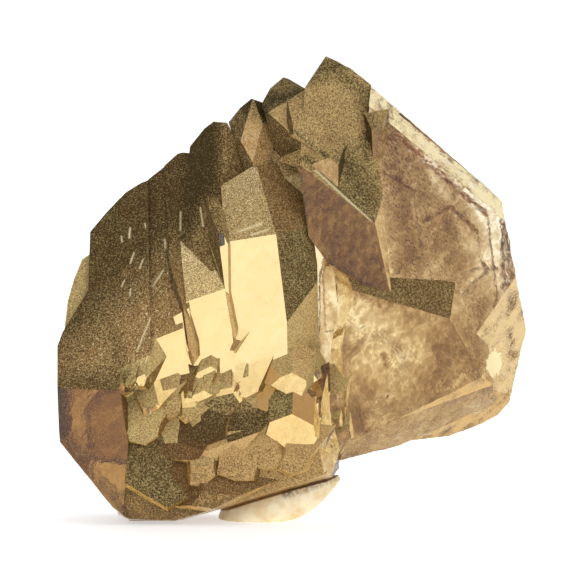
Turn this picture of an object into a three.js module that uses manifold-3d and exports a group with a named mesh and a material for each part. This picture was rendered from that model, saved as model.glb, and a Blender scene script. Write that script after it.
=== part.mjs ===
// A smoky quartz gwindel standing on its broken lower edge: a flat stack of parallel quartz crystals, each
// leaning a little more than its neighbour, all grown together into one body. Each crystal shows an upright
// prism face in front and, above its shoulder, a rhombohedral face that leans back to a ridge. The pinch of
// putty that props the specimen up is the second piece.
//
// Millimetres, +Z up. The broad side with the stepped growth faces looks along -Y. The origin is the middle
// of the footprint, on the surface that the specimen stands on.
import * as THREE from 'three';
import { ConvexGeometry } from 'three/addons/geometries/ConvexGeometry.js';
import { mergeVertices } from 'three/addons/utils/BufferGeometryUtils.js';
import Module from 'manifold-3d';

const wasm = await Module();
wasm.setup();

const THICKNESS = 22; // through the stoutest part
const FRONT = -THICKNESS / 2;
const BACK = THICKNESS / 2;
const ROOF_SLOPE = 0.6; // how far a rhombohedral face leans back for each millimetre of its height
const STEP_ROOF = 0.75; // the same for the rhombohedral faces of the small growth steps
const SIDE_SLOPE = 2.2; // how far the side faces of those steps fall back for each millimetre of width
const UNDER_SLOPE = 3; // the same for their short faces that look down
const LEVEL = 0.5; // an edge of a step looks up or down where its normal rises or falls by more than this
const ROOT = 3; // how far a growth step reaches into the crystal behind it
const BACK_ROOF = 3.2; // height of the narrow rhombohedral faces along the back of the ridge
const GAP = 0.35; // between the crystal and the putty
const REACH = 200; // size of the blocks that trim a solid, larger than the specimen

// Solids: closed meshes in, closed meshes out

function solid(geometry) {
  const bare = geometry.clone();
  bare.deleteAttribute('normal');
  bare.deleteAttribute('uv');
  const merged = mergeVertices(bare, 1e-4);
  return new wasm.Manifold(new wasm.Mesh({
    numProp: 3,
    vertProperties: new Float32Array(merged.attributes.position.array),
    triVerts: new Uint32Array(merged.index.array),
  }));
}

function geometryOf(manifold) {
  const mesh = manifold.getMesh();
  const geometry = new THREE.BufferGeometry();
  geometry.setAttribute('position', new THREE.BufferAttribute(mesh.vertProperties, 3));
  geometry.setIndex(new THREE.BufferAttribute(mesh.triVerts, 1));
  return geometry;
}

// The convex block around some points [x, y, z].
function block(points) {
  return solid(new ConvexGeometry(points.map((point) => new THREE.Vector3(...point))));
}

// Outlines are lists of [x, z], seen from the front; at() sets one at a depth y.
const at = (y, outline) => outline.map(([x, z]) => [x, y, z]);

// A crystal face runs through an edge [from, to] at depth y, and falls back by slope for each millimetre to
// the left of that edge. trimmed() cuts away what stands in front of it, or behind it for a face at the back.
function trimmed(body, { edge: [from, to], y, slope, back = false }) {
  const run = new THREE.Vector2(to[0] - from[0], to[1] - from[1]).normalize();
  const sense = back ? -1 : 1;
  const outward = new THREE.Vector3(-run.y * slope, -sense, run.x * slope).normalize();
  const turn = new THREE.Quaternion().setFromUnitVectors(new THREE.Vector3(0, 0, 1), outward);
  const waste = new THREE.BoxGeometry(REACH, REACH, REACH).translate(0, 0, REACH / 2);
  waste.applyQuaternion(turn).translate(from[0], y, from[1]);
  return body.subtract(solid(waste));
}

// A slab with a convex outline, from the front to its own back plane, trimmed by its crystal faces.
function slab({ outline, back, faces }) {
  return faces.reduce(trimmed, block([...at(FRONT, outline), ...at(back, outline)]));
}

// Height of a point above the shoulder line [left, right].
function heightAbove([left, right], [x, z]) {
  const share = (x - left[0]) / (right[0] - left[0]);
  return z - left[1] - (right[1] - left[1]) * share;
}

// One crystal of the stack: prism face from its shoulder down to its foot, rhombohedral face from the
// shoulder up to the ridge, flat back with a narrow rhombohedral face of its own.
function crystal({ front, back, shoulder, foot, roof }) {
  const face = [...shoulder, ...foot];
  const ridge = roof.map(([x, z]) => [x, front + ROOF_SLOPE * heightAbove(shoulder, [x, z]), z]);
  const behind = roof.map(([x, z]) => [x, back, z - BACK_ROOF]);
  return block([...at(front, face), ...ridge, ...at(back, face), ...behind]);
}

// How steeply a face falls back follows from the way its edge looks: up, sideways or down.
function slopeOf(outward) {
  if (outward.y > LEVEL) return STEP_ROOF;
  return outward.y > -LEVEL ? SIDE_SLOPE : UNDER_SLOPE;
}

// A growth step: a flat prism face with a convex outline [x, z], listed clockwise, and the faces that fall
// away from each of its edges into the crystal; inward is 1 for a step on the front and -1 on the back.
function step({ y, face, inward = 1, root = ROOT }) {
  const sides = face.map((from, index) => {
    const to = face[(index + 1) % face.length];
    const run = new THREE.Vector2(to[0] - from[0], to[1] - from[1]).normalize();
    const outward = new THREE.Vector2(-run.y, run.x);
    const width = root / slopeOf(outward);
    return { run, start: new THREE.Vector2(...from).addScaledVector(outward, width) };
  });
  const base = sides.map((side, index) => {
    const before = sides[(index + sides.length - 1) % sides.length];
    const toStart = side.start.clone().sub(before.start);
    const along = toStart.cross(side.run) / before.run.cross(side.run);
    return before.start.clone().addScaledVector(before.run, along).toArray();
  });
  return block([...at(y, face), ...at(y + inward * root, base)]);
}

function joined(solids) {
  return solids.reduce((sum, next) => sum.add(next));
}

// The stack, from its low left end up to the ridge of the second tall crystal

const lowCrystals = [
  // the broad face at the low left end, the lower plate behind its left edge, and its upper part
  { front: -10.1, back: 7.6, shoulder: [[-32.8, 19.2], [-24.1, 18.8]],
    foot: [[-23, 11.2], [-23.8, 1], [-27.4, 4.5], [-32.5, 10.9]],
    roof: [[-32.9, 24.8], [-32.2, 26.7], [-28, 33.5], [-24.4, 38]] },
  { front: -9.1, back: 7.6, shoulder: [[-32.8, 19.2], [-24.1, 18.8]], foot: [[-24.1, 14], [-31.6, 14]],
    roof: [[-31.6, 27.2], [-31.6, 30.8], [-30.8, 33.7], [-29.7, 36.4], [-24.4, 40]] },
  { front: -10.1, back: 7.6, shoulder: [[-29, 19], [-24.1, 18.8]], foot: [[-24.1, 14], [-28.6, 14]],
    roof: [[-28.3, 33.5], [-28.6, 40.2], [-26.5, 42.7], [-24.5, 44.8], [-23.5, 44.8]] },
  { front: -8.6, back: 8.2, shoulder: [[-24.6, 21.6], [-19.9, 23.8]], foot: [[-19.9, 20], [-24.4, 17.4]],
    roof: [[-26, 43.1], [-23.7, 45.6], [-21.6, 46.9], [-20.6, 47.3]] },
  { front: -6.8, back: 8.4, shoulder: [[-20.3, 25.4], [-15.4, 27.3]], foot: [[-13.4, 12], [-24, 12]],
    roof: [[-21.1, 46.9], [-19.9, 47.9], [-19.3, 48], [-18.1, 49.3]] },
  { front: -6.3, back: 8.8, shoulder: [[-16.8, 28.8], [-14.6, 30.1]], foot: [[-13.8, 24], [-15.2, 24]],
    roof: [[-18.3, 49.3], [-16.4, 51], [-15.7, 51.2], [-14.2, 51.1]] },
  { front: -5.8, back: 9.2, shoulder: [[-15, 30.9], [-9.1, 32.9]],
    foot: [[-8.7, 25.8], [-7.1, 8], [-12.5, 8], [-14.9, 20]], roof: [[-16, 39.2], [-15.2, 40.5]] },
];

// The tall crystal with the largest clear face: prism face, roof, side prism face and a steep face above it

const tallCrystal = {
  outline: [[-10.2, 46.8], [-6, 49.4], [1.4, 50.4], [3.1, 44], [3.5, 24.5], [2.5, 6], [-6.9, 6],
    [-8.6, 24.5]],
  back: 9.6,
  faces: [
    { edge: [[0, 0], [1, 0]], y: -5, slope: 0 },
    { edge: [[-8.8, 39.3], [-2.5, 40.3]], y: -5, slope: ROOF_SLOPE },
    { edge: [[-2.5, 40.3], [-1, 28]], y: -5, slope: 0.85 },
    { edge: [[-1, 28], [-0.6, 8]], y: -5, slope: 0.95 },
    { edge: [[-2.5, 40.3], [5, 33.7]], y: -5, slope: 1.12 },
  ],
};

// Fins along the ridge, each with a steep left edge and a gentle right one

const fins = [
  { // left of the tall crystal
    outline: [[-16, 39.3], [-14.6, 52.1], [-12.6, 54.6], [-11.3, 55.6], [-9.4, 55.4], [-6.2, 48.7],
      [-9.1, 40.3], [-9.1, 32.6]],
    back: 9.2,
    faces: [
      { edge: [[-15, 30.9], [-9.9, 32.6]], y: -5.2, slope: 0.42 },
      { edge: [[-16, 39.5], [-10.2, 32.6]], y: -5.6, slope: 0.62 },
      { edge: [[-16, 52.4], [-8, 53.4]], y: 9.2, slope: 1.1, back: true },
    ],
  },
  { // above the tall crystal
    outline: [[-9.2, 55.4], [-7.6, 57.4], [-6, 58.7], [-4.5, 58.2], [-2.2, 54.9], [-2.1, 54], [-4.5, 47],
      [-6.2, 47]],
    back: 9.6,
    faces: [
      { edge: [[-6.2, 48.4], [-4.5, 48.3]], y: -0.2, slope: ROOF_SLOPE },
      { edge: [[-7.8, 53.2], [-4.2, 57.1]], y: 3, slope: 1.3 },
      { edge: [[-4.2, 55.9], [-2.2, 51.3]], y: 4.4, slope: 0.95 },
      { edge: [[-5, 55.7], [-3.2, 54.2]], y: 3.9, slope: 1.1 },
      { edge: [[-5.6, 49.7], [-5, 58.2]], y: 0.6, slope: 0.9 },
      { edge: [[-5, 58.2], [-5.6, 49.7]], y: 0.6, slope: 0.9 },
    ],
  },
  { // second highest
    outline: [[-4.5, 58.1], [-3.4, 60.1], [-1.5, 61.7], [-0.8, 61.5], [1.5, 60.2], [2.7, 54.6], [0.8, 50],
      [-2, 50]],
    back: 9.8,
    faces: [
      { edge: [[-2.2, 54.9], [2.7, 54]], y: 1.2, slope: ROOF_SLOPE },
      { edge: [[-4.5, 57.4], [1.3, 59]], y: 3.2, slope: 1.5 },
      { edge: [[0.3, 53.2], [-2.2, 57.7]], y: 0.8, slope: 0.9 },
    ],
  },
];

// The highest crystal: one large face that slopes up and to the right from a diagonal shoulder

const peak = {
  outline: [[0.8, 49], [1.5, 60.2], [2, 60.9], [4.5, 64.8], [7.8, 63.3], [10.9, 60.8], [11.5, 56], [12, 42],
    [13.7, 30.8], [9.2, 32.9], [4.8, 36.1], [2, 40]],
  back: 10.4,
  faces: [
    { edge: [[0, 0], [1, 0]], y: -1.7, slope: 0 },
    { edge: [[0.8, 49.8], [11.3, 41.7]], y: -1.7, slope: 0.64 },
    { edge: [[11.3, 41.7], [13.7, 30.8]], y: -1.7, slope: 1.2 },
    { edge: [[13.7, 30.8], [4.8, 36.1]], y: -1.7, slope: 2 },
    { edge: [[4, 62.4], [15, 55.2]], y: 10.4, slope: 0.9, back: true },
  ],
};

// Right half: thinner plates with clear prism faces, thinning out to a pale edge

const plates = [
  { // upper: leans back towards the thin top edge
    outline: [[10.6, 57], [10.9, 60.8], [12, 60.3], [14.9, 57], [18.3, 54.2], [23.2, 50.8], [29.4, 44.8],
      [30.4, 39.9], [31.5, 33.7], [32.9, 26.6], [30.8, 12], [8, 10], [8, 34]],
    back: 9.2,
    faces: [
      { edge: [[0, 0], [1, 0]], y: -0.4, slope: 0 },
      { edge: [[13.4, 33.6], [23.9, 25.5]], y: -0.4, slope: 0.3 },
      { edge: [[13.4, 55.6], [28.2, 43.4]], y: 4.8, slope: 1.2 },
      { edge: [[27.6, 43.6], [27.8, 30]], y: 1.2, slope: 0.5 },
      { edge: [[26, 35], [26.4, 20]], y: -0.4, slope: 0.45 },
      { edge: [[27.2, 20.5], [14.7, 14.2]], y: -0.6, slope: 0.7 },
      { edge: [[15, 55], [28.6, 42.4]], y: 9.2, slope: 1.2, back: true },
      { edge: [[29, 46], [29, 16]], y: 9.2, slope: 0.8, back: true },
    ],
  },
  { // lower: proud of the upper one by a rhombohedral face
    outline: [[4.6, 36.6], [13.4, 34.6], [23.5, 33], [27.5, 25], [28.5, 16], [14.7, 10], [4, 7.6], [3, 20]],
    back: 6,
    faces: [
      { edge: [[0, 0], [1, 0]], y: -2.6, slope: 0 },
      { edge: [[13.4, 30.8], [21.8, 28.3]], y: -2.6, slope: STEP_ROOF },
      { edge: [[6.6, 24], [5.8, 34]], y: -2.6, slope: 1.4 },
      { edge: [[4.4, 12], [6.6, 24]], y: -2.6, slope: 1.4 },
      { edge: [[21.8, 28.3], [26, 20.6]], y: -2.6, slope: 1.2 },
      { edge: [[27.2, 20.5], [14.7, 14.2]], y: -2.6, slope: 0.8 },
      { edge: [[14.7, 14.2], [4.3, 9.4]], y: -2.6, slope: 1.1 },
    ],
  },
  { // the clear face beside the tall crystal
    outline: [[2.4, 42], [5, 42], [6.6, 24], [5, 9], [2, 9]],
    back: 9.2,
    faces: [{ edge: [[0, 0], [1, 0]], y: -0.6, slope: 0 }],
  },
];

// The grown-together inside of the stack: its middle, the stretch in front of that at the height of the
// clear faces, the thick foot that carries the small steps and the heel behind the leftmost of them

const core = block([
  ...at(2.2, [[-22, 34], [-14, 44], [-6, 47], [4, 49], [12, 44], [20, 36], [22, 20], [4, 10], [-22, 10]]),
  ...at(4, [[-3, 51.5], [1, 52]]),
  ...at(8.4, [[-22, 34], [-14, 44], [-6, 49], [-2, 54], [4, 54], [12, 50], [20, 44], [22, 20], [4, 8],
    [-22, 8]]),
]);
const heartOutline = [[-18.6, 26], [-13, 30], [-8, 31], [-3, 31], [-2, 12], [-18.6, 12]];
const heart = block([...at(-3.9, heartOutline), ...at(5, heartOutline)]);
const foot = block([
  ...at(-8.6, [[-24.6, 11], [-18.8, 12], [-4, 13], [0.2, 14], [3.4, 11.2], [4.6, 5], [-16.9, 0], [-24.6, 0]]),
  ...at(-4, [[-24.6, 20], [-18.8, 22], [1.2, 22.6], [4.4, 18], [6.4, 10]]),
  ...at(8, [[-24.6, 20], [-18.8, 23], [1.2, 23], [6.4, 11.2], [6.4, 5], [-16.9, 0], [-24.6, 0]]),
]);
const heelOutline = [[-24.4, 12], [-24.4, 18.2], [-22, 19], [-19.6, 18.6], [-19.6, 12]];
const heel = block([...at(-7.2, heelOutline), ...at(4, heelOutline)]);

// Small stepped crystals of the front, in rows that climb to the right

const frontSteps = [
  // narrow bands between the clear faces
  { y: -6.9, face: [[-15.4, 30.2], [-14.8, 29], [-13.7, 25.5], [-13.6, 23.4], [-14, 22.8], [-14.7, 25]] },
  { y: -5.9, face: [[-9.5, 32.2], [-9.1, 31.9], [-8.4, 28.3], [-7.9, 25.9], [-8.3, 25.5], [-8.8, 28]] },
  { y: -5.8, face: [[-10.6, 40.7], [-9.9, 40.4], [-9.2, 38.9], [-9.1, 31.9], [-9.5, 31.9]] },
  { y: -6.2, face: [[-8.1, 25.7], [-7.4, 25.5], [-8.3, 24.1], [-8.8, 24.2]] },
  // under the tall clear faces
  { y: -9.5, face: [[-22.2, 19.5], [-21.8, 20.6], [-20.6, 21.2], [-20.3, 20.7], [-20.9, 19.4]] },
  { y: -9.8, face: [[-23.5, 19.7], [-22.7, 21.3], [-22, 20.9], [-22, 20.3], [-23.2, 19.3]] },
  { y: -10.1, face: [[-24.4, 18.8], [-23.9, 20], [-23.5, 19.3], [-23.6, 18.6], [-24, 18.3]] },
  { y: -8, face: [[-19.1, 17.4], [-19.2, 18.3], [-16.4, 19.3], [-15.8, 18.9], [-16.2, 18], [-18.8, 16.9]] },
  { y: -9.2, face: [[-20.8, 15], [-21, 16.2], [-18.8, 16.9], [-18.3, 17], [-18.9, 16.2]] },
  { y: -8.3, face: [[-15, 17.7], [-14.7, 18.7], [-14.1, 18.5], [-14.3, 17.6]] },
  { y: -6.8, face: [[-13.9, 20.2], [-13.4, 21.1], [-11.6, 22], [-10.8, 21.5], [-10.8, 21.1], [-13, 19.9]] },
  { y: -7.4, face: [[-12.6, 18.8], [-12.5, 19.9], [-11.3, 20.4], [-11.4, 19.3]] },
  { y: -8.1, face: [[-15.5, 16.6], [-15, 17.6], [-12.5, 18.7], [-11.4, 18], [-14.3, 16.6]] },
  { y: -7.2, face: [[-11.3, 17.8], [-11.2, 18.3], [-8.7, 19.5], [-8.4, 18.6]] },
  { y: -6.1, face: [[-8.7, 18.5], [-8.8, 19.5], [-6.6, 20.7], [-5.3, 20.2], [-6.4, 19.6]] },
  { y: -7.6, face: [[-7.6, 17.8], [-7.3, 18.1], [-4.9, 19], [-5, 18.5], [-6.7, 17.6]] },
  { y: -6.9, face: [[-3.2, 19.3], [-2, 20.4], [-0.3, 21.1], [1.7, 20], [1.7, 19.3], [1.1, 17.9],
    [0.4, 17.2]] },
  // the row below
  { y: -8.4, face: [[-18.3, 15.4], [-18.2, 17], [-16.2, 17.9], [-15.7, 16.9], [-15.9, 15.7],
    [-17.5, 14.7]] },
  { y: -8.6, face: [[-15.7, 15], [-15.5, 16.3], [-13.7, 16.5], [-12.7, 15.5], [-13.2, 14.8],
    [-15.1, 14.1]] },
  { y: -7.8, face: [[-12.7, 15], [-12.6, 16.8], [-10.8, 17.8], [-8.5, 18.3], [-7.6, 16.9], [-9.1, 15],
    [-11.3, 14.1]] },
  { y: -7.5, face: [[-8.7, 15], [-7.8, 16.8], [-6.9, 17.4], [-5.2, 16.1], [-4.8, 14.3], [-7.6, 13.4]] },
  { y: -9.7, face: [[-23.5, 12], [-23, 13.7], [-19.6, 15], [-18.6, 14.1], [-19, 12.5], [-20.7, 11.2]] },
  { y: -9.7, face: [[-18.8, 10.4], [-17.9, 11.5], [-16.2, 11.6], [-12.7, 10.6], [-13.4, 9.1],
    [-17.6, 9.1]] },
  { y: -9, face: [[-16.1, 11.8], [-14.1, 13.7], [-12.9, 14.6], [-9.5, 13.6], [-9.5, 12], [-13, 10.8]] },
  { y: -8.9, face: [[-3.9, 12.6], [-3.4, 14.3], [-0.3, 15.5], [2.7, 13.9], [3.2, 11.9], [2.1, 10.1],
    [-1.3, 10.8]] },
  // along the lower edge
  { y: -9.3, face: [[-13.3, 9], [-12.6, 10.2], [-9.2, 11.5], [-4.8, 13], [-6.6, 10.8], [-12.5, 8.3]] },
  { y: -10.1, face: [[-14.5, 5.7], [-14.3, 7.8], [-13.4, 8.7], [-11.2, 8.3], [-10.9, 7], [-12.7, 5.3]] },
  { y: -9.9, face: [[-10.7, 7.3], [-10.4, 9], [-8.4, 10.3], [-5.2, 8], [-5.6, 6.3], [-8.1, 6.2]] },
  { y: -9.6, face: [[-7.4, 9.9], [-4.8, 11.3], [-2.2, 10.7], [-1.3, 8.8], [-3.2, 7.8], [-5.3, 8]] },
  { y: -9.9, face: [[-2, 7.8], [-1.1, 10.1], [2.5, 9.9], [1.4, 7.7], [-0.6, 7.1]] },
  { y: -10.5, face: [[-23.4, 5.9], [-23, 8.8], [-19.5, 9.5], [-17.6, 7.8], [-14.6, 3.9], [-17.6, 2.5]] },
  { y: -10.8, face: [[-14.3, 2.8], [-12.6, 5], [-7.6, 4.2], [-11.1, 2.4]] },
  // to the right of the tall crystal
  { y: -4.6, face: [[1.4, 19.3], [3.4, 21.3], [3.9, 20.4], [3.9, 17.8], [1.4, 17.2]] },
  { y: -6.6, face: [[1.3, 15.7], [3.8, 17.1], [3.9, 14.6], [2.8, 14]] },
  { y: -4, face: [[4.5, 17.5], [7.1, 18.2], [6.9, 16.1], [4.6, 14.7]] },
  { y: -4.4, face: [[4.1, 13.4], [6.4, 14.7], [6.4, 13.3], [4.5, 12.3]] },
  { y: -4, face: [[4.9, 11.6], [7.6, 13], [7.8, 11.6], [6.2, 10.4]] },
  // on the highest crystal: a rib beside the diagonal shoulder, a facet under it and a cell at the right
  { y: -0.2, face: [[-0.1, 54.2], [-0.1, 55], [6, 50.5], [5.8, 49.8]], root: 2 },
  { y: -1.1, face: [[1.4, 49.3], [3.8, 50.4], [5, 50.8], [6.2, 49.8], [6.2, 46.9]], root: 2 },
  { y: 2.8, face: [[11.1, 50.6], [10.9, 54.5], [12.4, 54.7], [12.3, 51]], root: 2 },
];

// Broad, low growth plates of the back, and a few small crystals at their foot

const backSteps = [
  { y: 9.3, face: [[-31, 8], [-31.6, 22], [-25.6, 36], [-17, 43.6], [-16.4, 6], [-24, 3]] },
  { y: 10.3, face: [[-19.4, 8], [-20.8, 30], [-18, 37], [-12.6, 46], [-7, 50], [-1.6, 51.5], [3.6, 38],
    [3.4, 8]] },
  { y: 9.9, face: [[4, 13], [3, 42], [8, 51.5], [14, 52.6], [27, 41.4], [28.2, 30], [25, 17.4], [14, 15.4]] },
  { y: 10.8, face: [[-13.4, 9], [-13, 15.4], [-8.4, 17], [-6.6, 12], [-9, 6.6]] },
  { y: 10.4, face: [[-28.4, 8.4], [-29, 14], [-25.4, 18.6], [-21, 15.4], [-22, 7.4]] },
  { y: 10.7, face: [[6.6, 16.4], [7, 22.4], [12.6, 25], [15.6, 21], [13, 16.6]] },
  { y: 10.3, face: [[7.4, 34], [6.6, 42.4], [9.4, 49.4], [16.4, 45], [17.6, 36.2], [13, 33]] },
  { y: 9.9, face: [[-30, 18], [-30.4, 24], [-27.4, 31], [-24.4, 33.6], [-24, 20]] },
  { y: 10.3, face: [[-27.6, 19], [-28, 25.4], [-25.6, 31], [-23.2, 31.4], [-22.4, 17.6]] },
  { y: 10.5, face: [[4.6, 26], [4.2, 35], [7, 38.6], [9.6, 36], [9.8, 26.6]] },
  { y: 10.4, face: [[19.4, 30], [18.1, 40.6], [21.8, 42.6], [25.6, 39], [26, 33.6], [23, 30]] },
  { y: 10.7, face: [[23.4, 33.2], [26, 34.1], [26.6, 33.5], [24.6, 32.1]] },
].map((plain) => ({ ...plain, inward: -1 }));

// The broken lower edge and the ragged right edge: everything lies inside this envelope

function envelope(drop) {
  const top = [[-34, 66], [34, 66], [33.5, 40]];
  const front = [[-32.6, 11.8], [-27.4, 6.3], [-25.3, 2.8], [-23, 1.1], [-16.9, 0.8], [-12.5, 2.1],
    [-5.9, 4.2], [4.3, 8.6], [14.7, 12.6], [21.8, 16], [27.2, 19.5], [29.5, 25.2]];
  const middle = [[-32.9, 24.8], [-32.8, 11.8], [-32.3, 10.9], [-27.4, 4.5], [-24.6, 0.8], [-23, 0],
    [-15.5, 0], [-13.2, 0.9], [5.9, 6.8], [12.7, 8.5], [18.1, 9.8], [26, 12.8], [28.8, 14.2], [30.7, 16.4],
    [32.9, 26.6]];
  const behind = [[-31, 12], [-26, 5.5], [-22, 1.6], [-14, 1.8], [5.9, 9], [26, 16], [29, 20], [31, 27]];
  return block([
    ...at(FRONT, [...top, ...front]), ...at(-3, [...top, ...middle]), ...at(4, [...top, ...middle]),
    ...at(BACK, [...top, ...behind]),
  ].map(([x, y, z]) => [x, y, z - drop]));
}

const crystalBody = joined([
  ...lowCrystals.map(crystal), slab(tallCrystal), ...fins.map(slab), slab(peak), ...plates.map(slab),
  core, heart, foot, heel, ...frontSteps.map(step), ...backSteps.map(step),
]).intersect(envelope(0));

// A soft lump pressed under the lower edge, flat where it stands, with its right end curling up

const PUTTY = { length: 17, depth: 15, height: 11, middle: new THREE.Vector3(-2.2, 1.6, 2.2) };
const LEAN = 0.3; // how steeply the lump rises with the crystal's lower edge
const CURL = { from: -2.5, rise: 0.07 }; // past from, the underside rises with the square of the distance
const PRESSED = 0.12; // what is left of the lump's height below its underside
const THUMBED = { dent: 0.05, along: 5, across: 4, start: 2 }; // dents, as a share of the radius

function puttyLump() {
  const ball = new THREE.SphereGeometry(1, 36, 24).rotateX(Math.PI / 2);
  const place = ball.attributes.position;
  for (let index = 0; index < place.count; index += 1) {
    const point = new THREE.Vector3().fromBufferAttribute(place, index);
    const wave = Math.sin(THUMBED.along * point.x + THUMBED.start) * Math.cos(THUMBED.across * point.y);
    const radius = 0.5 + 0.5 * THUMBED.dent * wave;
    point.multiply(new THREE.Vector3(PUTTY.length, PUTTY.depth, PUTTY.height).multiplyScalar(radius));
    point.z += LEAN * point.x;
    point.add(PUTTY.middle);
    const underside = CURL.rise * Math.max(0, point.x - CURL.from) ** 2;
    if (point.z < underside) point.z = underside + PRESSED * (point.z - underside);
    place.setXYZ(index, point.x, point.y, point.z);
  }
  return ball;
}

const underFloor = new THREE.BoxGeometry(REACH, REACH, REACH).translate(0, 0, -REACH / 2);
const puttyBody = solid(puttyLump()).subtract(solid(underFloor)).subtract(envelope(GAP));

const quartz = new THREE.MeshStandardMaterial({ color: 0xb4925f, roughness: 0.12, metalness: 0 });
const gwindel = new THREE.Group();
const crystalMesh = new THREE.Mesh(geometryOf(crystalBody), quartz);
crystalMesh.name = 'gwindel_crystal';
gwindel.add(crystalMesh);

const putty = new THREE.MeshStandardMaterial({ color: 0xd9cdb4, roughness: 0.8, metalness: 0 });
const puttyMesh = new THREE.Mesh(geometryOf(puttyBody), putty);
puttyMesh.name = 'putty_rest';
gwindel.add(puttyMesh);

export default gwindel;
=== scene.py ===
"""A smoky quartz gwindel and its pinch of putty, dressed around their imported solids."""

import math

import bmesh
import bpy
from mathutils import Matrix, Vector, noise
from mathutils.bvhtree import BVHTree


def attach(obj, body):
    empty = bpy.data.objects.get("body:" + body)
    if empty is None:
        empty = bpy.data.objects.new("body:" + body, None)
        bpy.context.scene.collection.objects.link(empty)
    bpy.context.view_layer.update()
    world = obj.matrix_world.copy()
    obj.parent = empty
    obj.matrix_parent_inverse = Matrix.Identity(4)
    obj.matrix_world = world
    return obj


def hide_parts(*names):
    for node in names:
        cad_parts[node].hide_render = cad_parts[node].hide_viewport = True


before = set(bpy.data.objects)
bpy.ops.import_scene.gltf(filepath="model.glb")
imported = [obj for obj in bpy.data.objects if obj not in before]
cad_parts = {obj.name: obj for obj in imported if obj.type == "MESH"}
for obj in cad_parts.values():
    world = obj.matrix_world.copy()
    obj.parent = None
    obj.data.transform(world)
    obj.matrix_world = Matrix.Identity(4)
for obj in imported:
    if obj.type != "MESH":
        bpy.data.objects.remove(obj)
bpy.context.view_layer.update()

bl_info = {
    "name": "Gwindel",
    "version": (1, 0, 0),
    "blender": (4, 5, 0),
    "location": "3D View > Sidebar > Gwindel",
    "description": "Dresses a smoky quartz gwindel: dusted crystal, putty and a pale studio stage",
    "category": "Object",
}

MM = 0.001


def linear(red, green, blue):
    """A screen colour from 0 to 255 as the linear colour that a shader takes."""
    def one(level):
        share = level / 255
        return share / 12.92 if share <= 0.04045 else ((share + 0.055) / 1.055) ** 2.4
    return (one(red), one(green), one(blue))


# Meshes
WELD = 0.001 * MM  # corners of the solids nearer than this are one corner
FLAT = math.radians(0.5)  # triangles that turn less than this are one flat face
CRYSTAL_EDGE = math.radians(4)  # the crystal's faces meet in a sharp edge from this angle on
PUTTY_EDGE = math.radians(40)  # and so do the putty's
ROUGH = 0.5  # faces that are broken at least this deep are cut finely and dented
ROUNDS = 8  # how often edges are cut, and slopes of dents eased, at most
DENT_REACH = 1.5 * MM  # how far the dents run out over the faces beside a broken one
STANDING = 0.1 * MM  # corners lower than this stand on the surface and stay where they are
BESIDE = 0.8  # amount of the dents right beside a broken face
COARSENING = 0.8  # how much longer edges may be for each unit of distance from the broken faces
STEEPEST = 0.6  # depth that a dent gains along an edge at most, as a share of the edge's length
SHELL_WAVES = 0.42  # shallow shells in each millimetre of a broken face
CHIP_WAVES = 1.5  # small chips in each millimetre
CHIP_SHIFT = Vector((7, 3, 5))  # keeps the chips from lying where the shells do
CORE_SHARE = 0.75  # dents go towards the core, which is this much as wide and high as the crystal
CORE_DEEP = 3 * MM  # and lies this far behind the middle
CORE_UP = 7 * MM  # and this far up

# Patterns of the crystal: patches come out about twice as wide as these, before any are drawn out
DRIFT_SIZE = 2.6 * MM  # thicker and thinner dust
CLOUD_SIZE = 3.5 * MM  # clouds in the smoke and the veils
BAND_SIZE = 1.6 * MM  # slanting bands across the clouds
FLAKE_SIZE = 0.9 * MM  # flaky veils
PIT_SIZE = 0.3 * MM  # etch pits
TICK_SIZE = 0.16 * MM  # pale ticks
CHIP_EDGE_SIZE = 0.45 * MM  # outline of the pale chip
COARSE_GRAINS = 2.2  # size of the coarse dust grains, measured in fine ones

# Places on the crystal, in millimetres. A pair from one place to another is a ramp from nothing to all.
SKYLINE_HEIGHT = 60.3  # height of the line along the left half's peaks, where it crosses the middle
SKYLINE_RISE = 0.98  # its rise in each millimetre across
SKYLINE_BAND = (-11.0, -1.0)  # heights above that line where the dust grows thicker
SKYLINE_WAVER = 9  # how far this band wavers up and down
SKYLINE_END = (-9.5, -11.5)  # where it ends across
TICKS_END = (-15.0, -18.0)  # where the pale ticks end across
TICKS_FOOT = (20.0, 21.0)  # and where they end below
CHIP_MIDDLE = (28.05, 21.9)  # the pale chip at the right edge, across and up
CHIP_HALF = (1.1, 1.8)  # half its width and height
CHIP_BACK = (5.0, 4.5)  # how far back it reaches
GLINTS_BACK = (7.0, 6.0)  # how far back the glints reach

# Ramps on the amounts that cover the crystal, and on its noises
THICK_DUST = (0.88, 0.92)  # dust that grows thicker under the skyline
TICKED_DUST = (0.85, 0.90)  # dust with pale ticks
SHADED_DUST = (0.50, 0.80)  # dust that takes the shades
WORN = (0.95, 1.05)  # brightness of faces whose dust is worn off in patches
CREAMY = (1.0, 1.6)  # brightness of faces that turn to cream
SPECKLED = (0.4, 0.6)  # grains from dark to pale

# Putty
# the painted contact shadow of the crystal on the putty
SHADOW_START, SHADOW_END = (-1.2, 4.2), (5.4, 6.2)  # the dark streak, across and up, in millimetres
SHADOW_WIDTH = 1.1

# Light and matter
QUARTZ_IOR = 1.544
ALL_ROUND = 0.25  # light from everywhere
FRONT_AND_BACK = 0.85  # more from in front and from behind
ABOVE = 0.2  # more from above, and less from below
RIGHT = 0.45  # more from the right
BACKDROP = 1.1  # brightness of the plain background

# Camera
AIM = Vector((-0.91, 0, 32.55)) * MM  # the middle of the view
SENSOR = 36  # width of the sensor, in millimetres

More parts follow.
